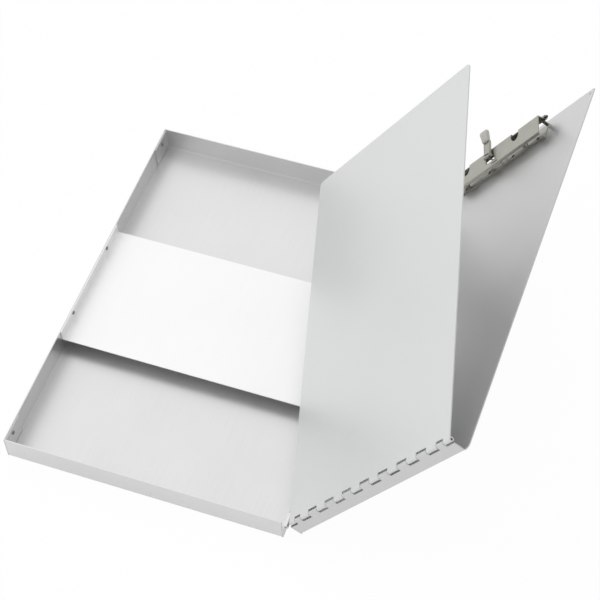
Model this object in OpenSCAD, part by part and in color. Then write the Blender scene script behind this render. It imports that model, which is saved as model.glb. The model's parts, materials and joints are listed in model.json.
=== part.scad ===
// Storage clipboard box: a shallow aluminium tray with a riveted shelf, a lid
// hinged along the right wall, a cover sheet hinged along the lid's bottom edge
// and a sprung clip with a lever at the lid's top edge.
//
// The origin is the middle of the tray's underside, +Z up, the front wall at -Y.
// The lid and all that it carries are drawn in the lid's own frame: X runs from
// the spine outwards, Y from the tray's front wall to the back, Z up from the
// lid plate's outer face towards its inner side.

/* [Tray] */
// Width over the side walls
tray_w = 228; // [200:1:260]
// Length from the front wall to the back wall
tray_l = 330; // [300:1:360]
// Height of the front, left and back walls
wall_h = 22.5; // [21:0.5:30]
// Thickness of the aluminium sheet of tray, shelf, lid and cover
sheet_t = 0.8; // [0.6:0.1:1]
// Outer radius of a fold
fold_r = 1.2; // [1.1:0.1:1.3]
// Length of the corner tabs lapped inside the side walls
tab_l = 24.5; // [20:0.5:40]
// Step from a wall's top edge down to its corner tabs
tab_drop = 0.9; // [0.5:0.1:2]
// Width of the seam where an end wall meets a side wall
seam_w = 0.3; // [0.2:0.1:0.6]
// Depth of that seam
seam_d = 0.4; // [0.2:0.1:0.5]

/* [Shelf] */
// Height of the shelf's top face over the table
shelf_z = 13; // [11.5:0.5:14]
// Distance of the shelf's front edge from the tray's front
shelf_front = 106; // [60:1:150]
// Depth of the shelf from its front edge to its back edge
shelf_depth = 114.4; // [80:0.2:140]
// Height of the flange under the shelf's right end
shelf_skirt = 7.8; // [7:0.1:9]
// Distance of the shelf rivets from the shelf's front and back edges
shelf_rivet_in = 23; // [10:0.5:35]

/* [Rivets] */
// Radius of a rivet's shank
rivet_r = 1.2; // [1:0.1:1.4]
// Radius of a rivet's head
rivet_head_r = 1.8; // [1.7:0.1:2.2]
// Height of a rivet's head
rivet_head_h = 0.6; // [0.4:0.1:0.8]
// Radius of the hollow in a rivet's clinched end
rivet_hollow_r = 0.8; // [0.5:0.1:0.9]
// Clearance of a shank in its hole
rivet_fit = 0.05; // [0.02:0.01:0.1]
// Distance of the corner rivets from the tray's ends
corner_rivet_in = 12; // [9:0.5:18]
// Height of the corner rivets of the left wall
corner_rivet_z = 15.5; // [10:0.5:17]
// Height of the rivets of the right wall, at the corners and at the shelf
low_rivet_z = 8.6; // [8:0.1:9]

/* [Spine hinge] */
// Distance of the hinge axis outside the right wall's outer face
spine_out = 2.6; // [2.5:0.1:3.2]
// Height of the hinge axis over the table
spine_z = 17.5; // [17:0.5:19]
// Radius of the hinge rod
spine_rod_r = 1.15; // [1:0.05:1.2]
// Number of knuckles, tray and lid together
spine_knuckles = 27; // [15:2:35]
// Opening angle of the lid from closed
lid_open = 123.2; // [100:0.1:170]

/* [Lid] */
// Width of the lid from the hinge axis to its outer edge
lid_w = 225.1; // [224:0.1:228]
// Depth of the lid from the hinge axis to the plate's outer face
lid_drop = 12.75; // [12.5:0.05:14]
// Distance of the lid's spine flange from the hinge axis
leaf_out = 1.7; // [1.6:0.1:1.8]
// Distance of the lid's bottom flange from the tray's front
lid_front = 1.2; // [1.1:0.1:1.6]
// Distance of the lid's top edge from the tray's back
lid_back = 1.2; // [1:0.1:4]
// Radius of the lid's bottom outer corner
lid_corner_r = 5; // [4:0.5:6]
// Radius of the lid's top outer corner
lid_top_r = 2; // [1:0.5:4]
// Radius of the small hole in the lid's top outer corner
lid_hole_r = 1.1; // [0.8:0.1:1.5]
// Distance of that hole from the lid's outer and top edges
lid_hole_in = 4.2; // [3.5:0.1:8]

/* [Cover] */
// Distance of the cover's hinge edge end from the spine axis
cover_in = 4.6; // [3:0.1:6]
// Length of the cover's hinge, which is the cover's width
cover_w = 216.4; // [200:0.1:216.9]
// Length of the cover from its hinge axis to its free edge
cover_l = 289.6; // [240:0.1:292]
// Height of the cover's hinge axis over the lid plate's outer face
cover_z = 11.8; // [10.6:0.1:12.4]
// Radius of the cover's hinge rod
cover_rod_r = 0.85; // [0.8:0.05:0.95]
// Number of knuckles along the cover's hinge, cover and lid together
cover_knuckles = 19; // [11:2:27]
// Length of the two shorter knuckles at each end of the cover's hinge
cover_end_l = 8.2; // [6:0.1:12]
// Depth of the rod's ends inside the end knuckles
cover_rod_in = 1.4; // [0.5:0.1:3]
// Radius of the cover's free corners
cover_corner_r = 3.5; // [2:0.5:8]
// Angle of the cover from the lid plate
cover_open = 17; // [5:0.1:60]

/* [Hinge fits] */
// Radial clearance of a rod in its knuckles
hinge_fit = 0.05; // [0.02:0.01:0.08]
// Gap between neighbouring knuckles
knuckle_gap = 0.4; // [0.3:0.05:0.8]
// Gap between a barrel and the notched edge beside it
notch_gap = 0.8; // [0.5:0.05:0.9]

/* [Clip] */
// Length of the clip's jaw
jaw_l = 128; // [126:1:140]
// Thickness of the jaw's steel sheet
jaw_t = 0.9; // [0.8:0.1:1]
// Thickness of the clip's base plate and lever
clip_t = 0.8; // [0.7:0.1:0.9]
// Distance of the clip's middle from the spine axis
clip_s = 112; // [105:1:118]
// Distance of the clip's rod from the lid's top edge
clip_in = 7.5; // [7.5:0.1:10]
// Height of the clip's rod over the lid plate's outer face
clip_rod_z = 8.2; // [8:0.1:8.6]
// Radius of the clip's rod
clip_rod_r = 1; // [0.9:0.05:1.05]
// Length of the clip's rod
clip_rod_l = 132; // [130:1:150]
// Ridge of the jaw in front of the rod
ridge_out = 3.3; // [3:0.1:3.6]
// Ridge of the jaw above the rod
ridge_up = 6.1; // [5.9:0.1:6.4]
// Lip of the jaw in front of the rod
lip_out = 16.3; // [16:0.1:17]
// Lip of the jaw above the rod
lip_up = 1.1; // [0.9:0.1:1.4]
// Length of the lip's curl
lip_curl = 1.5; // [1.2:0.1:1.8]
// Extra length of the curl at the middle of the lip
lip_bulge = 0.8; // [0.5:0.1:1]
// Width of that longer curl
lip_bulge_w = 24.6; // [18:0.2:34]
// Distance of the two thumb notches from the clip's middle
notch_out = 33.5; // [28:0.5:44]
// Radius of the thumb notches
notch_r = 5; // [3:0.5:5.5]
// Width of the lever's slot at the jaw's ridge
slot_w = 7.9; // [7.8:0.1:9]
// Width of the slot at its front end
slot_front_w = 12.4; // [9:0.2:16]
// Front end of the slot in front of the rod
slot_out = 13; // [12.6:0.1:13.4]
// Length of the short slit in front of the slot
slit_l = 8; // [4:0.5:9]
// Width of the slit
slit_w = 0.7; // [0.5:0.1:0.8]
// Offset of the slit's middle to the right of the clip's middle
slit_off = 5.7; // [3:0.1:6]
// Place of the slit in front of the rod
slit_out = 15.1; // [14.6:0.1:15.2]

/* [Lever] */
// Lever pin in front of the clip's rod
pin_out = 10; // [9.8:0.1:10.3]
// Lever pin above the clip's rod
pin_up = 6.2; // [6.1:0.1:6.5]
// Radius of the lever pin
pin_r = 0.7; // [0.6:0.05:0.75]
// Radius of the pin's heads
pin_head_r = 1.3; // [1:0.1:1.5]
// Width of the lever over its cheeks
lever_w = 7.2; // [6.6:0.1:7.3]
// Height of a cheek's shank
cheek_h = 2.3; // [2.1:0.1:2.6]
// Radius of a cheek's round end about the pin
cheek_end_r = 1.6; // [1.5:0.05:1.7]
// Distance from the pin to the start of the lever's web
web_out = 2.4; // [2.2:0.1:4]
// Depth of the web below the cheeks' edges
web_drop = 0.1; // [0.05:0.05:0.2]
// Direction of the toes below the horizontal
toe_dir = 60; // [58:1:62]
// Radius of the toes' ends
toe_r = 0.5; // [0.4:0.1:0.6]
// Lift of the toes over the base plate
toe_lift = 0.6; // [0.5:0.1:0.8]
// Length of the shank from the pin to the knee
shank_l = 12.3; // [11.6:0.1:12.6]
// Slope of the shank
shank_dir = 22; // [20:0.5:24]
// Length of the grip from the knee to its end
grip_l = 10.4; // [8:0.1:10.6]
// Slope of the grip
grip_dir = 39.2; // [36:0.1:42]
// Width of the grip at its end
grip_w = 10; // [9:0.1:12]
// Thickness of the grip
grip_t = 4.2; // [3.6:0.1:4.4]

/* [Springs] */
// Radius of the spring wire
wire_r = 0.45; // [0.4:0.05:0.5]
// Number of turns of a spring
spring_turns = 9; // [6:1:12]
// Distance of a spring's middle from the jaw's end
spring_in = 24; // [20:0.5:26]

/* [Hidden] */
$fn = 48;

spine_x = tray_w/2 + spine_out;
spine_bore_r = spine_rod_r + hinge_fit;
spine_barrel_r = spine_bore_r + sheet_t;
spine_pitch = tray_l/spine_knuckles;
rod_end_in = 0.5;
// A round end is this much larger than the strip that it closes.
round_over = 0.01;
right_wall_h = spine_z - spine_barrel_r - notch_gap;
shelf_back = shelf_front + shelf_depth;
shelf_rivets_y = [shelf_front + shelf_rivet_in, shelf_back - shelf_rivet_in];
shelf_flange_top = wall_h - 0.3;
shelf_rivet_z = (shelf_z + fold_r + shelf_flange_top)/2 + 0.7;
right_tab_h = right_wall_h - tab_drop;
corner_rivets_y = [corner_rivet_in, tray_l - corner_rivet_in];

lid_top = tray_l - lid_back;
cover_bore_r = cover_rod_r + hinge_fit;
cover_barrel_r = cover_bore_r + sheet_t;
cover_y = lid_front + cover_barrel_r;
cover_out = cover_in + cover_w;
cover_unit = (cover_w - 4*cover_end_l)/(cover_knuckles - 4);

jaw_bore_r = clip_rod_r + hinge_fit;
jaw_barrel_r = jaw_bore_r + jaw_t;
lug_barrel_r = jaw_bore_r + clip_t;
rod_at = [lid_top - clip_in, clip_rod_z];
ridge_at = rod_at + [-ridge_out, ridge_up];
lip_at = rod_at + [-lip_out, lip_up];
curl_dir = [-0.52, -0.85];
curl_at = lip_at + curl_dir*lip_curl;
bulge_at = curl_at + curl_dir*lip_bulge;
flange_dir = (ridge_at - rod_at)/norm(ridge_at - rod_at);
flange_root = rod_at + [-flange_dir[1], flange_dir[0]]*(jaw_barrel_r - jaw_t/2);
flange_end = flange_root + (ridge_at - flange_root)/norm(ridge_at - flange_root)*3;
base_front = rod_at[0] - slot_out + 0.3;
base_top = sheet_t + clip_t;
end_knuckle = [jaw_l/2 - 4.8, jaw_l/2];
mid_knuckle = [14, 20];
lug_w = 3.2;
inner_lug = mid_knuckle[1] + knuckle_gap;
outer_lug = end_knuckle[0] - knuckle_gap - lug_w;
spring_out = jaw_l/2 - spring_in;
spring_pitch = 1.9*wire_r;
spring_l = (spring_turns - 1)*spring_pitch;
spring_room = spring_l/2 + wire_r + 0.7;
base_rivets_x = [16, jaw_l/2 - 15];
base_rivet_y = rod_at[0] - 8.5;

pin_at = rod_at + [-pin_out, pin_up];
pin_bore_r = pin_r + hinge_fit;
toe_l = (pin_at[1] - base_top - toe_r - toe_lift)/sin(toe_dir);
toe_at = pin_at + toe_l*[cos(toe_dir), -sin(toe_dir)];
knee_at = pin_at + shank_l*[cos(shank_dir), sin(shank_dir)];
grip_end = knee_at + (grip_l - grip_t/2)*[cos(grip_dir), sin(grip_dir)];
tongue_w = lever_w - 2*clip_t - 2*knuckle_gap;
face_slope = (ridge_up - lip_up)/(lip_out - ridge_out);
coil_r = clip_rod_r + 0.15 + wire_r;

// Places children in the lid's frame.
module in_lid() {
    translate([spine_x, -tray_l/2, spine_z])
        rotate([0, lid_open - 180, 0])
            translate([0, 0, -lid_drop])
                children();
}

// Places children in the cover's frame: Y along the cover, Z off the lid.
module in_cover() {
    in_lid() translate([0, cover_y, cover_z]) rotate([cover_open, 0, 0]) children();
}

// Places children in the clip's frame, with X measured from the clip's middle.
module in_clip() {
    in_lid() translate([clip_s, 0, 0]) children();
}

// Extrudes a Y-Z profile along X, from x0 to x1.
module along_x(x0, x1) {
    translate([x0, 0, 0]) rotate([90, 0, 90]) linear_extrude(x1 - x0) children();
}

// Extrudes an X-Z profile along Y, from y0 to y1.
module along_y(y0, y1) {
    translate([0, y1, 0]) rotate([90, 0, 0]) linear_extrude(y1 - y0) children();
}

// A quarter of a fold, in the quadrant that starts at angle a.
module fold(a) {
    rotate(a) intersection() {
        difference() {
            circle(fold_r);
            circle(fold_r - sheet_t);
        }
        square(fold_r);
    }
}

// A straight strip of sheet seen on edge, from point p to point q.
module strip(p, q, t) {
    translate(p)
        rotate(atan2(q[1] - p[1], q[0] - p[0]))
            translate([0, -t/2]) square([norm(q - p), t]);
}

module ring(r, bore) {
    difference() {
        circle(r);
        circle(bore);
    }
}

// One knuckle of the spine hinge about its axis; the sheet's far face is at -reach.
module spine_knuckle(reach) {
    top = -spine_bore_r;
    translate([-reach, -spine_barrel_r - notch_gap])
        square([sheet_t, top - fold_r + spine_barrel_r + notch_gap]);
    translate([fold_r - reach, top - fold_r]) fold(90);
    difference() {
        union() {
            circle(spine_barrel_r);
            translate([fold_r - reach, -spine_barrel_r]) square([reach - fold_r, sheet_t]);
        }
        circle(spine_bore_r);
    }
}

// Start of knuckle i of the spine hinge.
function spine_start(i) = i*spine_pitch + (i == 0 ? 0 : knuckle_gap/2);
function spine_stop(i) = (i + 1)*spine_pitch - (i == spine_knuckles - 1 ? 0 : knuckle_gap/2);

// Station i between the cover hinge's knuckles, with two shorter ones at each end.
function cover_station(i) =
    i < 2 ? cover_in + i*cover_end_l
    : i > cover_knuckles - 2 ? cover_out - (cover_knuckles - i)*cover_end_l
    : cover_in + 2*cover_end_l + (i - 2)*cover_unit;

// Start and end of knuckle i of the cover's hinge.
function cover_start(i) = cover_station(i) + (i == 0 ? 0 : knuckle_gap/2);
function cover_stop(i) = cover_station(i + 1) - (i == cover_knuckles - 1 ? 0 : knuckle_gap/2);

// A clinched rivet along +Z: a domed head below 0, a hollow rim above the grip.
module rivet(grip) {
    dome_r = (rivet_head_r*rivet_head_r + rivet_head_h*rivet_head_h)/(2*rivet_head_h);
    difference() {
        union() {
            intersection() {
                translate([0, 0, dome_r - rivet_head_h]) sphere(dome_r);
                translate([0, 0, -rivet_head_h]) cylinder(r = rivet_head_r, h = rivet_head_h);
            }
            cylinder(r = rivet_r, h = grip);
            translate([0, 0, grip])
                cylinder(r1 = rivet_head_r, r2 = rivet_head_r - rivet_head_h/2, h = rivet_head_h);
        }
        translate([0, 0, grip/2]) cylinder(r = rivet_hollow_r, h = grip + rivet_head_h);
    }
}

// Holes through the left wall (side -1) or the right wall (side 1).
module wall_holes(side, ys, z) {
    for (y = ys)
        translate([side*(tray_w/2 - 2*sheet_t), y - tray_l/2, z])
            rotate([0, 90, 0])
                cylinder(r = rivet_r + rivet_fit, h = 6*sheet_t, center = true);
}

// Rivets through a side wall and what is lapped inside it, head outside.
module wall_rivets(side, ys, z) {
    for (y = ys)
        translate([side*tray_w/2, y - tray_l/2, z])
            rotate([0, -side*90, 0]) rivet(2*sheet_t);
}

// A corner tab lapped inside a side wall, reaching back from the front wall.
module corner_tab(side, top) {
    translate([side > 0 ? tray_w/2 - 2*sheet_t : -tray_w/2 + sheet_t, sheet_t - tray_l/2, fold_r])
        cube([sheet_t, tab_l - sheet_t, top - fold_r]);
}

// One end wall with its floor fold and corner tabs.
module end_wall() {
    inner_w = tray_w - 2*sheet_t;
    translate([-inner_w/2, -tray_l/2, fold_r]) cube([inner_w, sheet_t, wall_h - fold_r]);
    along_x(-inner_w/2, inner_w/2) translate([fold_r - tray_l/2, fold_r]) fold(180);
    corner_tab(-1, wall_h - tab_drop);
    corner_tab(1, right_tab_h);
}

module tray_shell() {
    color("#c9cbcc") difference() {
        union() {
            translate([fold_r - tray_w/2, fold_r - tray_l/2, 0])
                cube([tray_w - 2*fold_r, tray_l - 2*fold_r, sheet_t]);
            along_y(-tray_l/2, tray_l/2) translate([fold_r - tray_w/2, fold_r]) fold(180);
            along_y(-tray_l/2, tray_l/2) translate([tray_w/2 - fold_r, fold_r]) fold(270);
            translate([-tray_w/2, -tray_l/2, fold_r]) cube([sheet_t, tray_l, wall_h - fold_r]);
            translate([tray_w/2 - sheet_t, -tray_l/2, fold_r])
                cube([sheet_t, tray_l, right_wall_h - fold_r]);
            end_wall();
            mirror([0, 1, 0]) end_wall();
            for (i = [0 : 2 : spine_knuckles - 1])
                translate([spine_x, -tray_l/2, spine_z])
                    along_y(spine_start(i), spine_stop(i)) spine_knuckle(spine_out + sheet_t);
        }
        for (end = [-1, 1], side = [-1, 1])
            translate([side*(tray_w/2 - sheet_t) - seam_w/2, end*tray_l/2 - seam_d, fold_r])
                cube([seam_w, 2*seam_d, wall_h]);
        wall_holes(-1, corner_rivets_y, corner_rivet_z);
        wall_holes(1, corner_rivets_y, low_rivet_z);
        wall_holes(-1, shelf_rivets_y, shelf_rivet_z);
        wall_holes(1, shelf_rivets_y, low_rivet_z);
    }
}

module corner_rivets_left() {
    color("#8f9192") wall_rivets(-1, corner_rivets_y, corner_rivet_z);
}

module corner_rivets_right() {
    color("#8f9192") wall_rivets(1, corner_rivets_y, low_rivet_z);
}

module storage_shelf() {
    left = -tray_w/2 + sheet_t;
    right = tray_w/2 - sheet_t;
    low = shelf_z - sheet_t;
    color("#e9eaea") difference() {
        along_y(shelf_front - tray_l/2, shelf_back - tray_l/2) {
            translate([left + fold_r, low]) square([right - left - 2*fold_r, sheet_t]);
            translate([left + fold_r, low + fold_r]) fold(180);
            translate([left, low + fold_r]) square([sheet_t, shelf_flange_top - low - fold_r]);
            translate([right - fold_r, shelf_z - fold_r]) fold(0);
            translate([right - sheet_t, shelf_z - shelf_skirt])
                square([sheet_t, shelf_skirt - fold_r]);
        }
        wall_holes(-1, shelf_rivets_y, shelf_rivet_z);
        wall_holes(1, shelf_rivets_y, low_rivet_z);
    }
}

module shelf_rivets_left() {
    color("#8f9192") wall_rivets(-1, shelf_rivets_y, shelf_rivet_z);
}

module shelf_rivets_right() {
    color("#8f9192") wall_rivets(1, shelf_rivets_y, low_rivet_z);
}

module spine_hinge_rod() {
    color("#a8aaab") translate([spine_x, rod_end_in - tray_l/2, spine_z])
        rotate([-90, 0, 0]) cylinder(r = spine_rod_r, h = tray_l - 2*rod_end_in);
}

// Outline of the lid plate from the spine fold outwards.
module lid_outline() {
    from = leaf_out + fold_r;
    difference() {
        union() {
            translate([from, lid_front + fold_r])
                square([lid_w - from, lid_top - lid_front - fold_r]);
            translate([cover_out, lid_front]) square([lid_w - cover_out, 2*fold_r]);
        }
        difference() {
            translate([lid_w - lid_corner_r, lid_front - 1])
                square([lid_corner_r + 1, lid_corner_r + 1]);
            translate([lid_w - lid_corner_r, lid_front + lid_corner_r]) circle(lid_corner_r);
        }
        difference() {
            translate([lid_w - lid_top_r, lid_top - lid_top_r]) square(lid_top_r + 1);
            translate([lid_w - lid_top_r, lid_top - lid_top_r]) circle(lid_top_r);
        }
        translate([lid_w - lid_hole_in, lid_top - lid_hole_in]) circle(lid_hole_r);
        for (x = base_rivets_x, side = [-1, 1])
            translate([clip_s + side*x, base_rivet_y]) circle(rivet_r + rivet_fit);
    }
}

module lid_plate() {
    color("#a7a9aa") in_lid() {
        linear_extrude(sheet_t) lid_outline();
        along_y(lid_front, lid_top) translate([leaf_out + fold_r, fold_r]) fold(180);
        translate([leaf_out, lid_front, fold_r])
            cube([sheet_t, lid_top - lid_front, lid_drop - spine_barrel_r - notch_gap - fold_r]);
        for (i = [1 : 2 : spine_knuckles - 2])
            translate([0, 0, lid_drop])
                along_y(spine_start(i), spine_stop(i))
                    mirror([1, 0]) spine_knuckle(leaf_out + sheet_t);
        along_x(leaf_out, cover_out) {
            translate([lid_front + fold_r, fold_r]) fold(180);
            translate([lid_front, fold_r])
                square([sheet_t, cover_z - cover_barrel_r - notch_gap - fold_r]);
        }
        for (i = [1 : 2 : cover_knuckles - 2])
            along_x(cover_start(i), cover_stop(i)) translate([cover_y, cover_z]) {
                ring(cover_barrel_r, cover_bore_r);
                difference() {
                    translate([-cover_barrel_r, -cover_barrel_r - notch_gap])
                        square([sheet_t, cover_barrel_r + notch_gap]);
                    circle(cover_bore_r);
                }
            }
    }
}

module cover_hinge_rod() {
    color("#a8aaab") in_lid() translate([cover_in + cover_rod_in, cover_y, cover_z])
        rotate([0, 90, 0]) cylinder(r = cover_rod_r, h = cover_w - 2*cover_rod_in);
}

// Outline of the cover beyond its knuckles.
module cover_outline() {
    edge = cover_barrel_r + notch_gap;
    translate([cover_in, edge]) square([cover_w, cover_l - edge - cover_corner_r]);
    translate([cover_in + cover_corner_r, edge])
        square([cover_w - 2*cover_corner_r, cover_l - edge]);
    for (x = [cover_in + cover_corner_r, cover_out - cover_corner_r])
        translate([x, cover_l - cover_corner_r]) circle(cover_corner_r);
}

module cover_panel() {
    color("#d3d8d7") in_cover() {
        translate([0, 0, cover_bore_r]) linear_extrude(sheet_t) cover_outline();
        for (i = [0 : 2 : cover_knuckles - 1])
            along_x(cover_start(i), cover_stop(i)) {
                ring(cover_barrel_r, cover_bore_r);
                difference() {
                    translate([0, cover_bore_r]) square([cover_barrel_r + notch_gap, sheet_t]);
                    circle(cover_bore_r);
                }
            }
    }
}

module clip_base_plate() {
    back = rod_at[0] + lug_barrel_r;
    color("#b2b0a8") in_clip() difference() {
        union() {
            translate([-jaw_l/2 + 5, base_front, sheet_t])
                cube([jaw_l - 10, back - base_front, clip_t]);
            for (x = [inner_lug, outer_lug], side = [-1, 1])
                along_x(side > 0 ? x : -x - lug_w, side > 0 ? x + lug_w : -x) {
                    translate(rod_at) ring(lug_barrel_r, jaw_bore_r);
                    translate([back - clip_t, sheet_t])
                        square([clip_t, rod_at[1] - sheet_t]);
                }
        }
        for (x = base_rivets_x, side = [-1, 1])
            translate([side*x, base_rivet_y, -1]) cylinder(r = rivet_r + rivet_fit, h = 5);
    }
}

module clip_base_rivets() {
    color("#9a9a98") in_clip()
        for (x = base_rivets_x, side = [-1, 1])
            translate([side*x, base_rivet_y, base_top])
                rotate([180, 0, 0]) rivet(base_top);
}

module clip_rod() {
    color("#5f5f60") in_clip() translate([-clip_rod_l/2, rod_at[0], rod_at[1]])
        rotate([0, 90, 0]) cylinder(r = clip_rod_r, h = clip_rod_l);
}

// A torsion spring round the clip's rod: touching turns and two straight legs.
module clip_spring(side) {
    in_clip() translate([side*spring_out, 0, 0]) {
        for (i = [0 : spring_turns - 1])
            translate([i*spring_pitch - spring_l/2, rod_at[0], rod_at[1]])
                rotate([0, 90, 0]) rotate_extrude() translate([coil_r, 0]) circle(wire_r);
        spring_leg(-spring_l/2, [0, -coil_r], [-9, base_top + wire_r + 0.1 - rod_at[1]]);
        spring_leg(spring_l/2, [0, coil_r], [-8.6, -0.6]);
    }
}

// A straight leg of spring wire at x, between two points given from the rod.
module spring_leg(x, p, q) {
    run = q - p;
    translate([x, rod_at[0] + p[0], rod_at[1] + p[1]])
        rotate([atan2(run[1], run[0]) - 90, 0, 0]) cylinder(r = wire_r, h = norm(run));
}

module clip_spring_left() { color("#77787a") clip_spring(-1); }

module clip_spring_right() { color("#77787a") clip_spring(1); }

// The jaw's bent sheet over its whole length, seen on edge.
module jaw_profile() {
    strip(lip_at, ridge_at, jaw_t);
    strip(ridge_at, flange_root, jaw_t);
    strip(curl_at, lip_at, jaw_t);
    for (p = [ridge_at, lip_at, curl_at, flange_root])
        translate(p) circle(jaw_t/2 + round_over);
}

// A window in the jaw's flange, from x0 to x1 on both sides, for what lies round the rod.
module flange_window(x0, x1) {
    for (side = [-1, 1])
        translate([side > 0 ? x0 : -x1, rod_at[0] - ridge_out, rod_at[1] - ridge_out])
            cube([x1 - x0, ridge_out + 1, flange_end[1] - rod_at[1] + ridge_out]);
}

// The opening through the jaw's face that the lever's toes pass.
module lever_slot() {
    slot_back = ridge_at[0] - 0.9;
    slot_r = 2;
    translate([0, 0, rod_at[1] + 1]) linear_extrude(2*ridge_up)
        hull()
            for (side = [-1, 1]) {
                translate([side*(slot_front_w/2 - slot_r), rod_at[0] - slot_out + slot_r])
                    circle(slot_r);
                translate([side*(slot_w/2 - 0.3), slot_back]) circle(0.3);
            }
}

// The cut of one thumb notch through the jaw's face and over its ridge.
module thumb_notch(side) {
    intersection() {
        translate([side*notch_out, ridge_at[0] + notch_r - 6.6, rod_at[1] + 1])
            cylinder(r = notch_r, h = 2*ridge_up);
        translate([side*notch_out - notch_r, 0, 0]) {
            translate([0, ridge_at[0] - 9, rod_at[1]]) cube([2*notch_r, 8.8, 3*ridge_up]);
            translate([0, ridge_at[0] - 9, ridge_at[1] - 0.9])
                cube([2*notch_r, 10.2, ridge_up]);
        }
    }
}

module clip_jaw() {
    color("#acaca5") in_clip() {
        difference() {
            union() {
                along_x(-jaw_l/2, jaw_l/2) jaw_profile();
                along_x(-lip_bulge_w/2, lip_bulge_w/2) {
                    strip(bulge_at, curl_at, jaw_t);
                    translate(bulge_at) circle(jaw_t/2 + round_over);
                }
                for (span = [mid_knuckle, end_knuckle], side = [-1, 1])
                    along_x(side > 0 ? span[0] : -span[1], side > 0 ? span[1] : -span[0])
                        translate(rod_at) circle(jaw_barrel_r);
            }
            along_x(-jaw_l, jaw_l) translate(rod_at) circle(jaw_bore_r);
            flange_window(inner_lug - knuckle_gap, inner_lug + lug_w + knuckle_gap);
            flange_window(spring_out - spring_room, spring_out + spring_room);
            flange_window(outer_lug - knuckle_gap, end_knuckle[0]);
            lever_slot();
            for (side = [-1, 1]) thumb_notch(side);
            translate([slit_off - slit_l/2, rod_at[0] - slit_out - slit_w/2, rod_at[1]])
                cube([slit_l, slit_w, ridge_up]);
        }
        along_x(-tongue_w/2, tongue_w/2) difference() {
            union() {
                strip(ridge_at, pin_at, jaw_t);
                translate(pin_at) circle(pin_bore_r + jaw_t);
            }
            translate(pin_at) circle(pin_bore_r);
        }
    }
}

module lever_pin() {
    half = lever_w/2 + 0.3;
    color("#d8d8d6") in_clip() translate([0, pin_at[0], pin_at[1]]) rotate([0, 90, 0]) {
        translate([0, 0, -half]) cylinder(r = pin_r, h = 2*half);
        for (side = [-1, 1])
            translate([0, 0, side*(half + 0.3)]) cylinder(r = pin_head_r, h = 0.6, center = true);
    }
}

// One cheek of the lever, from its toe past the pin to the knee.
module lever_cheek() {
    difference() {
        union() {
            strip(pin_at, toe_at, 2*toe_r);
            translate(toe_at) circle(toe_r + round_over);
            translate(pin_at) circle(cheek_end_r);
            strip(pin_at, knee_at, cheek_h);
            translate(knee_at) circle(cheek_h/2 + round_over);
        }
        translate(pin_at) circle(pin_bore_r);
    }
}

module clip_lever() {
    shank = [cos(shank_dir), sin(shank_dir)];
    rise = [-shank[1], shank[0]]*((cheek_h - clip_t)/2 - web_drop);
    color("#b9b9b4") in_clip() {
        along_x(lever_w/2 - clip_t, lever_w/2) lever_cheek();
        along_x(-lever_w/2, clip_t - lever_w/2) lever_cheek();
        along_x(-lever_w/2, lever_w/2)
            strip(pin_at + web_out*shank + rise, knee_at + rise, clip_t);
        along_x(-lever_w/2, lever_w/2) {
            translate(knee_at + rise) circle(clip_t/2 + round_over);
            strip(knee_at + rise, grip_end + rise/2, clip_t);
        }
    }
}

// The rounded grip pressed over the lever's end.
module lever_grip() {
    shank = [cos(shank_dir), sin(shank_dir)];
    rise = [-shank[1], shank[0]]*((cheek_h - clip_t)/2 - web_drop);
    grip_run = [cos(grip_dir), sin(grip_dir)];
    start = knee_at + grip_run*1.6 + rise*0.8;
    round_r = grip_t/2;
    color("#cfccc2") in_clip() difference() {
        hull()
            for (side = [-1, 1]) {
                translate([side*(lever_w/2 + 0.5 - round_r), start[0], start[1]])
                    sphere(round_r, $fn = 24);
                translate([side*(grip_w/2 - round_r), grip_end[0], grip_end[1]])
                    sphere(round_r, $fn = 24);
            }
        along_x(-lever_w/2 - 0.05, lever_w/2 + 0.05) {
            strip(knee_at + rise, grip_end + rise/2, clip_t + 0.1);
            translate(grip_end + rise/2) circle(clip_t/2 + 0.05 + round_over);
            translate(knee_at) circle(cheek_h/2 + 0.12);
        }
    }
}

tray_shell();
corner_rivets_left();
corner_rivets_right();
storage_shelf();
shelf_rivets_left();
shelf_rivets_right();
spine_hinge_rod();
lid_plate();
cover_hinge_rod();
cover_panel();
clip_base_plate();
clip_base_rivets();
clip_rod();
clip_spring_left();
clip_spring_right();
clip_jaw();
lever_pin();
clip_lever();
lever_grip();
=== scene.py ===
"""Finish of a storage clipboard box: rolled aluminium sheet, a nickel plated clip
with its lever, springs and grip, and a plain white stage."""

import json
import math

import bmesh
import bpy
from mathutils import Matrix, Vector


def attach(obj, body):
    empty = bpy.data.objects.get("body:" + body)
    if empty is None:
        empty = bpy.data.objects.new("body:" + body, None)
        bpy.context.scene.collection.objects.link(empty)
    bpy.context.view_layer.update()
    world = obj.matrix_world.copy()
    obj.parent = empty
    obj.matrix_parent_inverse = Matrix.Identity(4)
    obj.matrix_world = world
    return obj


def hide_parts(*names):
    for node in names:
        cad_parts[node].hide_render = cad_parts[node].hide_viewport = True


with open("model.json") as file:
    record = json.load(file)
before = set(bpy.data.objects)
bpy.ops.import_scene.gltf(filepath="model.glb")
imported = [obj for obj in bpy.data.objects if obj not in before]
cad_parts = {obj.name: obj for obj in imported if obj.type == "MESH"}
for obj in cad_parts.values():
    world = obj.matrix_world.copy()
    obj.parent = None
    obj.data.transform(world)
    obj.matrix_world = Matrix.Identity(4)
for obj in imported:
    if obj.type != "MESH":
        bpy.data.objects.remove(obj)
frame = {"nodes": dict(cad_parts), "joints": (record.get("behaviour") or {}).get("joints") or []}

bl_info = {
    "name": "Storage clipboard box",
    "version": (1, 0, 0),
    "blender": (4, 5, 0),
    "location": "View3D > Sidebar > Box",
    "description": "Dresses an aluminium storage clipboard box and its clip",
    "category": "Object",
}

JOINTS = {joint["name"]: joint for joint in frame["joints"]}
MM = 0.001

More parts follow.
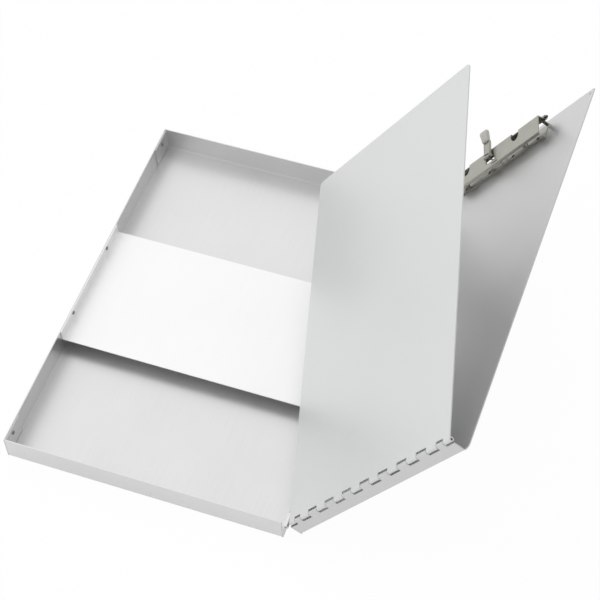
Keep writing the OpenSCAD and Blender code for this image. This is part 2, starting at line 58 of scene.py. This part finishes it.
# A spring's legs end here, back along the lid and off it, counted from the rod's middle: the
# lower one on the base plate and the upper one on the jaw.
LOWER_LEG_END = (-9.0 * MM, -6.05 * MM)
UPPER_LEG_END = (-8.4 * MM, -0.5 * MM)
# Turns lie this many wire radii apart, so that neighbours all but touch.
TURN_SPACING = 2.07
# The upper leg keeps this much of its coil, a hair thicker than the wire.
LEG_OVERLAP = math.radians(28.0)
LEG_SLEEVE = 1.03
# Steps of wire on a straight leg, or on the coil that the upper leg keeps, and on a whole turn.
LEG_STEPS = 6
TURN_STEPS = 20

# Depth of the fine relief in a surface.
RELIEF = 0.02 * MM

# The table: half its width, how far it lies under the box, and how white its paper is.
TABLE_HALF = 6.0
TABLE_DROP = 0.3 * MM
TABLE_PAPER = 0.92
# How much of the table is plain white, not lit paper, to the camera and in reflections.
GLOW_SEEN = 0.96
GLOW_MIRRORED = 0.6

# The room's brightness: its middle level, and how it changes along X, Y and Z.
ROOM_LEVEL = 0.93
ROOM_FALL = (-0.4, 0.18, 0.0)

# The lamp: its side, its power, where it hangs and what it points at.
LAMP_SIDE = 1.2
LAMP_WATTS = 4.0
LAMP_PLACE = (-1.5, -0.3, 1.5)
LAMP_AIM = (0.05, 0.0, 0.05)

# The camera: its place, the way it looks, its roll and its lens.
CAMERA_PLACE = (0.39285, -0.7689, 1.23025)
CAMERA_AZIMUTH = math.radians(22.724)
CAMERA_ELEVATION = math.radians(54.348)
CAMERA_ROLL = math.radians(-3.753)
CAMERA_LENS_MM = 111.08
CAMERA_SENSOR_MM = 36.0


# ---------------------------------------------------------------- settings


class BoxFinish(bpy.types.PropertyGroup):
    """Colours and grain of the box's metals and of the grip"""

    tray_hex: bpy.props.StringProperty(
        name="Tray sheet", description="Colour of the tray's mill-finished sheet", default="DCDCDC")
    # The shelf's colour is a whitish sheet, made lighter as painted light.
    shelf_lit_hex: bpy.props.StringProperty(
        name="Shelf sheet", description="Colour of the shelf's bright sheet", default="F6F6F6")
    # The lid is the tray's sheet, coloured darker as painted shade.
    lid_shaded_hex: bpy.props.StringProperty(
        name="Lid sheet", description="Colour of the lid's mill-finished sheet", default="CFCFCF")
    cover_hex: bpy.props.StringProperty(
        name="Cover sheet", description="Colour of the cover's fine satin sheet", default="D3D6D5")
    # The sheets' cut edges are bare bright metal, coloured near white as a painted highlight along
    # every edge.
    cut_edge_highlight_hex: bpy.props.StringProperty(
        name="Cut edge", description="Colour of the sheets' sheared edges", default="FDFDFD")
    # The clip's cut edges are coloured pale as a painted highlight.
    clip_edge_highlight_hex: bpy.props.StringProperty(
        name="Clip edge", description="Colour of the clip's plated cut edges", default="E9E6DF")
    rivet_hex: bpy.props.StringProperty(
        name="Rivets", description="Colour of the clinched aluminium rivets", default="97999A")
    nickel_hex: bpy.props.StringProperty(
        name="Clip nickel", description="Colour of the clip's nickel plating", default="ADACA4")
    wire_hex: bpy.props.StringProperty(
        name="Spring wire", description="Colour of the oiled spring wire", default="76777A")
    # The clip's and the cover's rods are coloured dark as painted shade in the bores at their ends.
    rod_shade_hex: bpy.props.StringProperty(
        name="Dark rods", description="Colour of the rods of the clip and the cover's hinge",
        default="5B5A58")
    bright_hex: bpy.props.StringProperty(
        name="Bright rods", description="Colour of the spine's rod and the lever's pin",
        default="B6B8B9")
    grip_hex: bpy.props.StringProperty(
        name="Grip", description="Colour of the lever's moulded grip", default="C6C4BC")
    grain_mm: bpy.props.FloatProperty(
        name="Grain width", description="Width of the rolling grain in the sheet, in millimetres",
        default=0.7, min=0.1, max=4.0)
    grain_run_mm: bpy.props.FloatProperty(
        name="Grain run", description="Length of one streak of the rolling grain, in millimetres",
        default=60.0, min=5.0, max=300.0)
    sheet_bevel: bpy.props.FloatProperty(
        name="Sheet bevel", description="Width of the bevel on the sheets' sheared edges",
        default=0.36 * MM, unit="LENGTH", precision=5)


class ClipSizes(bpy.types.PropertyGroup):
    """Sizes of the clip's dressed pieces"""

    wire_r: bpy.props.FloatProperty(
        name="Wire radius", description="Radius of the spring wire",
        default=0.45 * MM, unit="LENGTH", precision=5)
    coil_r: bpy.props.FloatProperty(
        name="Coil radius", description="Radius of a spring's turns at the wire's middle",
        default=1.6 * MM, unit="LENGTH", precision=5)
    coil_turns: bpy.props.FloatProperty(
        name="Turns", description="Turns of one spring", default=7.5, min=2.0, max=12.0)
    jaw_bevel: bpy.props.FloatProperty(
        name="Jaw bevel", description="Width of the bevel on the jaw's cut edges",
        default=0.3 * MM, unit="LENGTH", precision=5)
    small_bevel: bpy.props.FloatProperty(
        name="Small bevel", description="Width of the bevel on the lever's and the base plate's edges",
        default=0.2 * MM, unit="LENGTH", precision=5)
    grip_voxel: bpy.props.FloatProperty(
        name="Grip detail", description="Size of the cells that the grip's skin is remade from",
        default=0.25 * MM, unit="LENGTH", precision=5)


# ---------------------------------------------------------------- materials


def linear(code):
    """An sRGB hex colour as linear red, green and blue."""
    out = []
    for k in (0, 2, 4):
        c = int(code[k:k + 2], 16) / 255.0
        out.append(c / 12.92 if c <= 0.04045 else ((c + 0.055) / 1.055) ** 2.4)
    return out


def shade(code, by):
    """An sRGB hex colour as linear colour and alpha, made lighter or darker by a factor."""
    return (*(min(c * by, 1.0) for c in linear(code)), 1.0)


def repeats(mm):
    """How often a pattern of this many millimetres repeats in a metre."""
    return 1 / (mm * MM)


def add(tree, kind, inputs=None, **settings):
    """Adds a node, sets its properties, then fills or links its inputs."""
    made = tree.nodes.new(kind)
    for key, value in settings.items():
        setattr(made, key, value)
    for key, value in (inputs or {}).items():
        if isinstance(value, bpy.types.NodeSocket):
            tree.links.new(value, made.inputs[key])
        else:
            made.inputs[key].default_value = value
    return made


def start_material(name):
    """A new material without nodes, and its node tree."""
    mat = bpy.data.materials.new(name)
    mat.use_nodes = True
    mat.node_tree.nodes.clear()
    return mat, mat.node_tree


def rolled_sheet(name, code, finish, rough, streak, bump, metal):
    """Rolled aluminium sheet: grain along the length, soft clouding and rare scuffs.

    Its oxide skin scatters some of the light, so metal is the share that is plain reflection.
    """
    mat, tree = start_material(name)
    where = add(tree, "ShaderNodeTexCoord").outputs["Object"]
    # The grain of the rolls runs the long way of every sheet, so reflections smear across it.
    across, along = repeats(finish.grain_mm), repeats(finish.grain_run_mm)
    grain_at = add(tree, "ShaderNodeMapping", {"Vector": where, "Scale": (across, along, across)})
    grain = add(tree, "ShaderNodeTexNoise", {
        "Vector": grain_at.outputs["Vector"], "Scale": 1.0, "Detail": 3.0, "Roughness": 0.6})
    # Clouds about 70 mm across stand for the uneven oxide skin of bare sheet.
    cloud = add(tree, "ShaderNodeTexNoise", {
        "Vector": where, "Scale": repeats(70), "Detail": 2.0, "Roughness": 0.5})
    # Handling marks: scuffs about 12 mm long and 3 mm wide, only a few of them showing.
    scuff_at = add(tree, "ShaderNodeMapping", {
        "Vector": where, "Rotation": (0.3, 0.2, 0.5),
        "Scale": (repeats(12), repeats(3), repeats(12))})
    scuff = add(tree, "ShaderNodeTexNoise", {
        "Vector": scuff_at.outputs["Vector"], "Scale": 1.0, "Detail": 4.0, "Roughness": 0.7})
    scuffs = add(tree, "ShaderNodeMapRange", {
        "Value": scuff.outputs["Fac"], "From Min": 0.64, "From Max": 0.74, "To Max": 0.35})
    # Grain and clouds add up to values that mostly lie between these two.
    low, high = 0.6, 1.4
    mixed = add(tree, "ShaderNodeMath", {
        0: grain.outputs["Fac"], 1: cloud.outputs["Fac"]}, operation="ADD")
    tone = add(tree, "ShaderNodeValToRGB", {
        "Fac": add(tree, "ShaderNodeMapRange", {
            "Value": mixed.outputs[0], "From Min": low, "From Max": high}).outputs[0]})
    tone.color_ramp.elements[0].color = shade(code, 1 - streak)
    tone.color_ramp.elements[1].color = shade(code, 1 + streak)
    worn = add(tree, "ShaderNodeMixRGB", {
        "Fac": scuffs.outputs[0], "Color1": tone.outputs["Color"], "Color2": shade(code, 1.12)})
    dull = add(tree, "ShaderNodeMapRange", {
        "Value": mixed.outputs[0], "From Min": low, "From Max": high,
        "To Min": rough - 0.05, "To Max": rough + 0.06})
    relief = add(tree, "ShaderNodeBump", {
        "Height": grain.outputs["Fac"], "Strength": bump, "Distance": RELIEF})
    surface = add(tree, "ShaderNodeBsdfPrincipled", {
        "Base Color": worn.outputs["Color"], "Metallic": metal, "Roughness": dull.outputs[0],
        "Normal": relief.outputs["Normal"]})
    add(tree, "ShaderNodeOutputMaterial", {"Surface": surface.outputs[0]})
    return mat


def cut_edge_highlight(name, code):
    """A sheared and deburred edge: bright bare metal with fine marks of the shear across it, its
    colour lifted to near white as a painted highlight.
    """
    mat, tree = start_material(name)
    where = add(tree, "ShaderNodeTexCoord").outputs["Object"]
    # Shear marks about 0.6 mm across, with finer ones between.
    marks = add(tree, "ShaderNodeTexNoise", {
        "Vector": where, "Scale": repeats(0.6), "Detail": 2.0, "Roughness": 0.6})
    tone = add(tree, "ShaderNodeValToRGB", {"Fac": marks.outputs["Fac"]})
    tone.color_ramp.elements[0].color = shade(code, 0.92)
    tone.color_ramp.elements[1].color = shade(code, 1.05)
    dull = add(tree, "ShaderNodeMapRange", {
        "Value": marks.outputs["Fac"], "To Min": 0.4, "To Max": 0.55})
    surface = add(tree, "ShaderNodeBsdfPrincipled", {
        "Base Color": tone.outputs["Color"], "Metallic": 0.3, "Roughness": dull.outputs[0]})
    add(tree, "ShaderNodeOutputMaterial", {"Surface": surface.outputs[0]})
    return mat


def plated_steel(name, code, rough):
    """Nickel on pressed steel: softly polished, with faint orange peel and dull patches."""
    mat, tree = start_material(name)
    where = add(tree, "ShaderNodeTexCoord").outputs["Object"]
    # Orange peel of the plating, about 1.5 mm across, breaks up the highlights a little.
    peel = add(tree, "ShaderNodeTexNoise", {
        "Vector": where, "Scale": repeats(1.5), "Detail": 2.0, "Roughness": 0.5})
    # Dull patches about 14 mm across, where the plating has been handled.
    patch = add(tree, "ShaderNodeTexNoise", {
        "Vector": where, "Scale": repeats(14), "Detail": 3.0, "Roughness": 0.6})
    # They lie mostly between these two values.
    low, high = 0.3, 0.7
    tone = add(tree, "ShaderNodeValToRGB", {"Fac": patch.outputs["Fac"]})
    tone.color_ramp.elements[0].position = low
    tone.color_ramp.elements[0].color = shade(code, 0.93)
    tone.color_ramp.elements[1].position = high
    tone.color_ramp.elements[1].color = shade(code, 1.05)
    dull = add(tree, "ShaderNodeMapRange", {
        "Value": patch.outputs["Fac"], "From Min": low, "From Max": high,
        "To Min": rough - 0.04, "To Max": rough + 0.07})
    relief = add(tree, "ShaderNodeBump", {
        "Height": peel.outputs["Fac"], "Strength": 0.15, "Distance": RELIEF})
    surface = add(tree, "ShaderNodeBsdfPrincipled", {
        "Base Color": tone.outputs["Color"], "Metallic": 1.0, "Roughness": dull.outputs[0],
        "Normal": relief.outputs["Normal"]})
    add(tree, "ShaderNodeOutputMaterial", {"Surface": surface.outputs[0]})
    return mat


def drawn_wire(name, code, rough):
    """Drawn or headed metal: fine marks of the die and slightly uneven tone."""
    mat, tree = start_material(name)
    where = add(tree, "ShaderNodeTexCoord").outputs["Object"]
    # The die's marks give a silky edge to the shine. Real ones are a few hundredths of a
    # millimetre wide, and these are drawn 0.4 mm wide so that they show.
    marks = add(tree, "ShaderNodeTexNoise", {
        "Vector": where, "Scale": repeats(0.4), "Detail": 2.0, "Roughness": 0.6})
    tone = add(tree, "ShaderNodeValToRGB", {"Fac": marks.outputs["Fac"]})
    tone.color_ramp.elements[0].color = shade(code, 0.85)
    tone.color_ramp.elements[1].color = shade(code, 1.15)
    dull = add(tree, "ShaderNodeMapRange", {
        "Value": marks.outputs["Fac"], "To Min": rough - 0.08, "To Max": rough + 0.08})
    surface = add(tree, "ShaderNodeBsdfPrincipled", {
        "Base Color": tone.outputs["Color"], "Metallic": 1.0, "Roughness": dull.outputs[0]})
    add(tree, "ShaderNodeOutputMaterial", {"Surface": surface.outputs[0]})
    return mat


def moulded_plastic(name, code):
    """Cream moulded polypropylene: waxy, a little light passing through, fine mould texture."""
    mat, tree = start_material(name)
    where = add(tree, "ShaderNodeTexCoord").outputs["Object"]
    # Mould spark texture about 0.5 mm across keeps the waxy shine from being a mirror.
    spark = add(tree, "ShaderNodeTexNoise", {
        "Vector": where, "Scale": repeats(0.5), "Detail": 2.0, "Roughness": 0.5})
    # Flow of the melt, about 5 mm across, tints it unevenly.
    tint = add(tree, "ShaderNodeTexNoise", {"Vector": where, "Scale": repeats(5), "Detail": 1.0})
    tone = add(tree, "ShaderNodeValToRGB", {"Fac": tint.outputs["Fac"]})
    tone.color_ramp.elements[0].color = shade(code, 0.94)
    tone.color_ramp.elements[1].color = shade(code, 1.05)
    dull = add(tree, "ShaderNodeMapRange", {
        "Value": spark.outputs["Fac"], "To Min": 0.28, "To Max": 0.42})
    relief = add(tree, "ShaderNodeBump", {
        "Height": spark.outputs["Fac"], "Strength": 0.2, "Distance": RELIEF})
    surface = add(tree, "ShaderNodeBsdfPrincipled", {
        "Base Color": tone.outputs["Color"], "Roughness": dull.outputs[0], "IOR": 1.49,
        "Subsurface Weight": 0.15, "Subsurface Scale": 1.0 * MM,
        "Normal": relief.outputs["Normal"]})
    add(tree, "ShaderNodeOutputMaterial", {"Surface": surface.outputs[0]})
    return mat


# ---------------------------------------------------------------- mesh helpers


def dress(node_name, mat):
    """Gives a solid of the frame its material in every slot."""
    obj = frame["nodes"][node_name]
    if not obj.material_slots:
        obj.data.materials.append(mat)
    for held in obj.material_slots:
        held.material = mat
    return obj


def soften(obj, width, rim_highlight):
    """A small bevel on a solid's cut edges, so that they catch the light; its material, the last
    argument, is a painted highlight along the edge.
    """
    edge = obj.modifiers.new("cut_edge_highlight", "BEVEL")
    edge.width = width
    edge.segments = 2
    edge.limit_method = "ANGLE"
    edge.angle_limit = math.radians(50)
    edge.use_clamp_overlap = False
    obj.data.materials.append(rim_highlight)
    edge.material = len(obj.material_slots) - 1


def mesh_object(name, bm, mat):
    """Turns a bmesh into an object of the scene with one material."""
    mesh = bpy.data.meshes.new(name)
    bm.to_mesh(mesh)
    bm.free()
    mesh.materials.append(mat)
    obj = bpy.data.objects.new(name, mesh)
    bpy.context.scene.collection.objects.link(obj)
    return obj


def tube(bm, points, radius, sides=14):
    """A closed tube of round wire along a run of points, with flat ends."""
    rings = []
    side = None
    count = len(points)
    for i, p in enumerate(points):
        a = points[max(i - 1, 0)]
        b = points[min(i + 1, count - 1)]
        run = (b - a).normalized()
        if side is None:
            side = run.orthogonal().normalized()
        side = (side - run * side.dot(run)).normalized()
        other = run.cross(side)
        rings.append([bm.verts.new(p + (side * math.cos(t) + other * math.sin(t)) * radius)
                      for t in (2 * math.pi * k / sides for k in range(sides))])
    for lower, upper in zip(rings, rings[1:]):
        for k in range(sides):
            bm.faces.new((lower[k], lower[(k + 1) % sides], upper[(k + 1) % sides], upper[k]))
    bm.faces.new(rings[0][::-1])
    bm.faces.new(rings[-1])


def wire_piece(name, points, radius, mat, body):
    """A smooth piece of round wire that rides on a body and takes a material slot."""
    bm = bmesh.new()
    tube(bm, points, radius)
    bmesh.ops.recalc_face_normals(bm, faces=bm.faces[:])
    for face in bm.faces:
        face.smooth = True
    obj = mesh_object(name, bm, mat)
    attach(obj, body)
    return obj


# ---------------------------------------------------------------- springs


def clip_frame():
    """The jaw's hinge as a place, with X along the clip's rod and Z off the lid."""
    along = Vector(JOINTS["jaw_hinge"]["axis"]).normalized()
    back = Vector((0.0, 1.0, 0.0))
    off = along.cross(back)
    m = Matrix((along, back, off)).transposed().to_4x4()
    m.translation = Vector(JOINTS["jaw_hinge"]["pos_m"])
    return m


def place_on_rod(node_name):
    """How far along the clip's rod the middle of a solid lies, to a hundredth of a millimetre."""
    to_clip = clip_frame().inverted()
    obj = frame["nodes"][node_name]
    along = [(to_clip @ (obj.matrix_world @ v.co)).x for v in obj.data.vertices]
    return round((min(along) + max(along)) / 2, 5)


def coil_points(sizes, length):
    """The lower leg and the turns of a spring, about the rod's middle."""
    foot = Vector((-length / 2, *LOWER_LEG_END))
    first = Vector((-length / 2, 0.0, -sizes.coil_r))
    points = [foot.lerp(first, k / LEG_STEPS) for k in range(LEG_STEPS)]
    steps = int(sizes.coil_turns * TURN_STEPS)
    for k in range(steps + 1):
        turn = -math.pi / 2 + 2 * math.pi * sizes.coil_turns * k / steps
        points.append(Vector((
            -length / 2 + length * k / steps,
            sizes.coil_r * math.cos(turn), sizes.coil_r * math.sin(turn))))
    return points


def leg_points(sizes, length, pitch):
    """The end of a spring's last turn and its upper leg, about the rod's middle."""
    points = []
    for k in range(LEG_STEPS + 1):
        back = LEG_OVERLAP * (1 - k / LEG_STEPS)
        points.append(Vector((
            length / 2 - pitch * back / (2 * math.pi),
            sizes.coil_r * math.sin(back), sizes.coil_r * math.cos(back))))
    last = Vector((length / 2, 0.0, sizes.coil_r))
    tip = Vector((length / 2, *UPPER_LEG_END))
    return points + [last.lerp(tip, k / LEG_STEPS) for k in range(1, LEG_STEPS + 1)]


# ---------------------------------------------------------------- stage


def lay_table():
    """A wide sheet of white paper under the box."""
    mat, tree = start_material("white_table")
    # The paper is shown a little brighter than it is lit, so that it meets the white
    # background; cast shadows still darken it.
    path = add(tree, "ShaderNodeLightPath")
    seen = add(tree, "ShaderNodeMath", {
        0: path.outputs["Is Camera Ray"], 1: GLOW_SEEN}, operation="MULTIPLY")
    share = add(tree, "ShaderNodeMath", {
        0: path.outputs["Is Glossy Ray"], 1: GLOW_MIRRORED, 2: seen.outputs[0]},
        operation="MULTIPLY_ADD")
    paper = add(tree, "ShaderNodeBsdfDiffuse", {"Color": (TABLE_PAPER, TABLE_PAPER, TABLE_PAPER, 1.0)})
    glow = add(tree, "ShaderNodeEmission", {"Color": (1.0, 1.0, 1.0, 1.0), "Strength": 1.0})
    both = add(tree, "ShaderNodeMixShader", {
        "Fac": share.outputs[0], 1: paper.outputs[0], 2: glow.outputs[0]})
    add(tree, "ShaderNodeOutputMaterial", {"Surface": both.outputs[0]})
    bm = bmesh.new()
    bmesh.ops.create_grid(bm, x_segments=2, y_segments=2, size=TABLE_HALF)
    table = mesh_object("table", bm, mat)
    table.location = (0.0, 0.0, -TABLE_DROP)


def light_room(scene):
    """A white room, brightest to the left and behind, that falls off to the right."""
    world = bpy.data.worlds.new("studio")
    scene.world = world
    world.use_nodes = True
    tree = world.node_tree
    tree.nodes.clear()
    fall = add(tree, "ShaderNodeVectorMath", {
        0: add(tree, "ShaderNodeTexCoord").outputs["Generated"], 1: ROOM_FALL},
        operation="DOT_PRODUCT")
    lift = add(tree, "ShaderNodeMath", {0: fall.outputs["Value"], 1: ROOM_LEVEL}, operation="ADD")
    # To the camera it is nowhere less than plain white.
    path = add(tree, "ShaderNodeLightPath")
    level = add(tree, "ShaderNodeMath", {
        0: lift.outputs[0], 1: path.outputs["Is Camera Ray"]}, operation="MAXIMUM")
    sky = add(tree, "ShaderNodeBackground", {
        "Color": (1.0, 1.0, 1.0, 1.0), "Strength": level.outputs[0]})
    add(tree, "ShaderNodeOutputWorld", {"Surface": sky.outputs[0]})


def hang_lamp(scene):
    """One large soft lamp, from the left and in front, gives the box its direction of light."""
    key = bpy.data.lights.new("key", "AREA")
    key.shape = "RECTANGLE"
    key.size = LAMP_SIDE
    key.size_y = LAMP_SIDE
    key.energy = LAMP_WATTS
    lamp = bpy.data.objects.new("key", key)
    lamp.location = LAMP_PLACE
    lamp.rotation_mode = "QUATERNION"
    lamp.rotation_quaternion = (Vector(LAMP_AIM) - Vector(lamp.location)).to_track_quat("-Z", "Y")
    scene.collection.objects.link(lamp)


def set_camera(scene):
    """The camera in front of the box and above it, rolled a little."""
    cam = bpy.data.cameras.new("camera")
    cam.sensor_width = CAMERA_SENSOR_MM
    cam.lens = CAMERA_LENS_MM
    cam.clip_start = 0.05
    cam.clip_end = 20.0
    eye = bpy.data.objects.new("camera", cam)
    scene.collection.objects.link(eye)
    az, el, roll = CAMERA_AZIMUTH, CAMERA_ELEVATION, CAMERA_ROLL
    look = Vector((-math.sin(az) * math.cos(el), math.cos(az) * math.cos(el), -math.sin(el)))
    right = Vector((math.cos(az), math.sin(az), 0.0))
    up = right.cross(look)
    across = right * math.cos(roll) + up * math.sin(roll)
    upward = up * math.cos(roll) - right * math.sin(roll)
    m = Matrix((across, upward, -look)).transposed().to_4x4()
    m.translation = Vector(CAMERA_PLACE)
    eye.matrix_world = m
    scene.camera = eye


# ---------------------------------------------------------------- operators


class BOX_OT_sheets(bpy.types.Operator):
    """Finishes the tray, the shelf, the lid and the cover as rolled aluminium sheet"""

    bl_idname = "box.sheets"
    bl_label = "Sheets"

    def execute(self, context):
        finish = context.scene.box_finish
        # Mill-finished sheet: a pale satin grey that takes the tone of what is around it.
        tray = rolled_sheet("mill_aluminium_tray", finish.tray_hex, finish,
                            rough=0.34, streak=0.04, bump=0.2, metal=0.85)
        # The shelf's whitish sheet is coloured nearly white, lighter still as painted light for the
        # strong light on its upward face.
        shelf = rolled_sheet("whitish_shelf_painted_light", finish.shelf_lit_hex, finish,
                             rough=0.42, streak=0.015, bump=0.12, metal=0.4)
        # The lid's sheet is the tray's, coloured darker as painted shade, and a little duller.
        lid = rolled_sheet("mill_aluminium_lid_painted_shade", finish.lid_shaded_hex, finish,
                           rough=0.36, streak=0.04, bump=0.2, metal=0.85)
        # The cover has a finer satin, with soft blurred reflections.
        cover = rolled_sheet("satin_aluminium_cover", finish.cover_hex, finish,
                             rough=0.35, streak=0.012, bump=0.08, metal=0.45)
        # Bare sheared edges, coloured near white as a painted highlight along the sheets' edges.
        rim_highlight = cut_edge_highlight("sheared_edge_painted_highlight", finish.cut_edge_highlight_hex)
        for node_name, mat in (("tray_shell", tray), ("storage_shelf", shelf),
                               ("lid_plate", lid), ("cover_panel", cover)):
            soften(dress(node_name, mat), finish.sheet_bevel, rim_highlight)
        return {"FINISHED"}


class BOX_OT_fastenings(bpy.types.Operator):
    """Finishes the rivets, the rods of the hinges and the lever's pin"""

    bl_idname = "box.fastenings"
    bl_label = "Fastenings"

    def execute(self, context):
        finish = context.scene.box_finish
        # Soft aluminium rivets, clinched: duller and darker than the sheet they hold.
        rivet = drawn_wire("clinched_aluminium_rivet", finish.rivet_hex, rough=0.42)
        for node_name in ("corner_rivets_left", "corner_rivets_right", "shelf_rivets_left",
                          "shelf_rivets_right", "clip_base_rivets"):
            dress(node_name, rivet)
        # Bright drawn rod, seen only at its ends and between knuckles.
        bright = drawn_wire("bright_drawn_rod", finish.bright_hex, rough=0.38)
        for node_name in ("spine_hinge_rod", "lever_pin"):
            dress(node_name, bright)
        # Plain drawn rod, coloured dark as painted shade, so that the bores at its ends look shaded.
        rod_shade = drawn_wire("dark_rod_painted_shade", finish.rod_shade_hex, rough=0.4)
        for node_name in ("clip_rod", "cover_hinge_rod"):
            dress(node_name, rod_shade)
        return {"FINISHED"}


class BOX_OT_clip(bpy.types.Operator):
    """Finishes the clip's pressed steel pieces"""

    bl_idname = "box.clip"
    bl_label = "Clip"

    def execute(self, context):
        finish = context.scene.box_finish
        sizes = context.scene.box_clip
        # Nickel plated pressed steel: a warm grey, softly polished, with a painted highlight along its
        # cut edges.
        nickel = plated_steel("nickel_plated_steel", finish.nickel_hex, rough=0.33)
        rim_highlight = cut_edge_highlight("plated_edge_painted_highlight", finish.clip_edge_highlight_hex)
        for node_name, bevel in (("clip_jaw", sizes.jaw_bevel),
                                 ("clip_base_plate", sizes.small_bevel),
                                 ("clip_lever", sizes.small_bevel)):
            soften(dress(node_name, nickel), bevel, rim_highlight)
        return {"FINISHED"}


class BOX_OT_springs(bpy.types.Operator):
    """Winds the clip's two torsion springs from round wire, in place of their solids"""

    bl_idname = "box.springs"
    bl_label = "Springs"

    def execute(self, context):
        finish = context.scene.box_finish
        sizes = context.scene.box_clip
        # Hard-drawn spring wire, oil-darkened: a grey line with a narrow shine.
        wire = drawn_wire("oiled_spring_wire", finish.wire_hex, rough=0.38)
        place = clip_frame()
        pitch = TURN_SPACING * sizes.wire_r
        length = sizes.coil_turns * pitch
        for label in ("left", "right"):
            shift = Vector((place_on_rod(f"clip_spring_{label}"), 0.0, 0.0))
            coil = [place @ (p + shift) for p in coil_points(sizes, length)]
            spring = wire_piece(f"wound_spring_{label}", coil, sizes.wire_r, wire,
                                "lid")
            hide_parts(f"clip_spring_{label}")
            # The upper leg bears on the jaw and turns with it about the rod. The stretch of coil
            # that it keeps holds the wire whole as the jaw comes down.
            leg = [place @ (p + shift) for p in leg_points(sizes, length, pitch)]
            wire_piece(f"wound_spring_{label}_leg", leg, LEG_SLEEVE * sizes.wire_r, wire,
                       "jaw")
        return {"FINISHED"}


class BOX_OT_grip(bpy.types.Operator):
    """Finishes the moulded grip on the lever's end"""

    bl_idname = "box.grip"
    bl_label = "Grip"

    def execute(self, context):
        # Cream polypropylene, waxy and slightly see-through at its rim.
        cream = moulded_plastic("cream_polypropylene", context.scene.box_finish.grip_hex)
        grip = dress("lever_grip", cream)
        # Moulded corners: the solid's flats are remade fine and relaxed, which draws it in a little.
        skin = grip.modifiers.new("moulded_skin", "REMESH")
        skin.mode = "VOXEL"
        skin.voxel_size = context.scene.box_clip.grip_voxel
        skin.use_smooth_shade = True
        relax = grip.modifiers.new("moulded_corners", "SMOOTH")
        relax.factor = 0.5
        relax.iterations = 8
        return {"FINISHED"}


class BOX_OT_stage(bpy.types.Operator):
    """Lays the white table, the soft studio light and the camera"""

    bl_idname = "box.stage"
    bl_label = "Stage"

    def execute(self, context):
        scene = context.scene
        scene.view_settings.view_transform = "Standard"
        lay_table()
        light_room(scene)
        hang_lamp(scene)
        set_camera(scene)
        return {"FINISHED"}


class BOX_PT_panel(bpy.types.Panel):
    """The box's steps and settings"""

    bl_idname = "BOX_PT_panel"
    bl_label = "Storage clipboard box"
    bl_space_type = "VIEW_3D"
    bl_region_type = "UI"
    bl_category = "Box"

    def draw(self, context):
        for step in STEPS:
            self.layout.operator(step.bl_idname)
        for group in (context.scene.box_finish, context.scene.box_clip):
            for key in group.bl_rna.properties.keys():
                if key not in ("rna_type", "name"):
                    self.layout.prop(group, key)


STEPS = (BOX_OT_sheets, BOX_OT_fastenings, BOX_OT_clip, BOX_OT_springs, BOX_OT_grip, BOX_OT_stage)
CLASSES = (BoxFinish, ClipSizes, *STEPS, BOX_PT_panel)


def register():
    for cls in CLASSES:
        bpy.utils.register_class(cls)
    bpy.types.Scene.box_finish = bpy.props.PointerProperty(type=BoxFinish)
    bpy.types.Scene.box_clip = bpy.props.PointerProperty(type=ClipSizes)


def unregister():
    del bpy.types.Scene.box_clip
    del bpy.types.Scene.box_finish
    for cls in reversed(CLASSES):
        bpy.utils.unregister_class(cls)


def main():
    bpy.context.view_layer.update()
    # The start-up scene's own cube, lamp and camera go.
    for name in ("Cube", "Light", "Camera"):
        if name in bpy.data.objects:
            bpy.data.objects.remove(bpy.data.objects[name])
    register()
    bpy.ops.box.sheets()
    bpy.ops.box.fastenings()
    bpy.ops.box.clip()
    bpy.ops.box.springs()
    bpy.ops.box.grip()
    bpy.ops.box.stage()


if __name__ == "__main__":
    main()
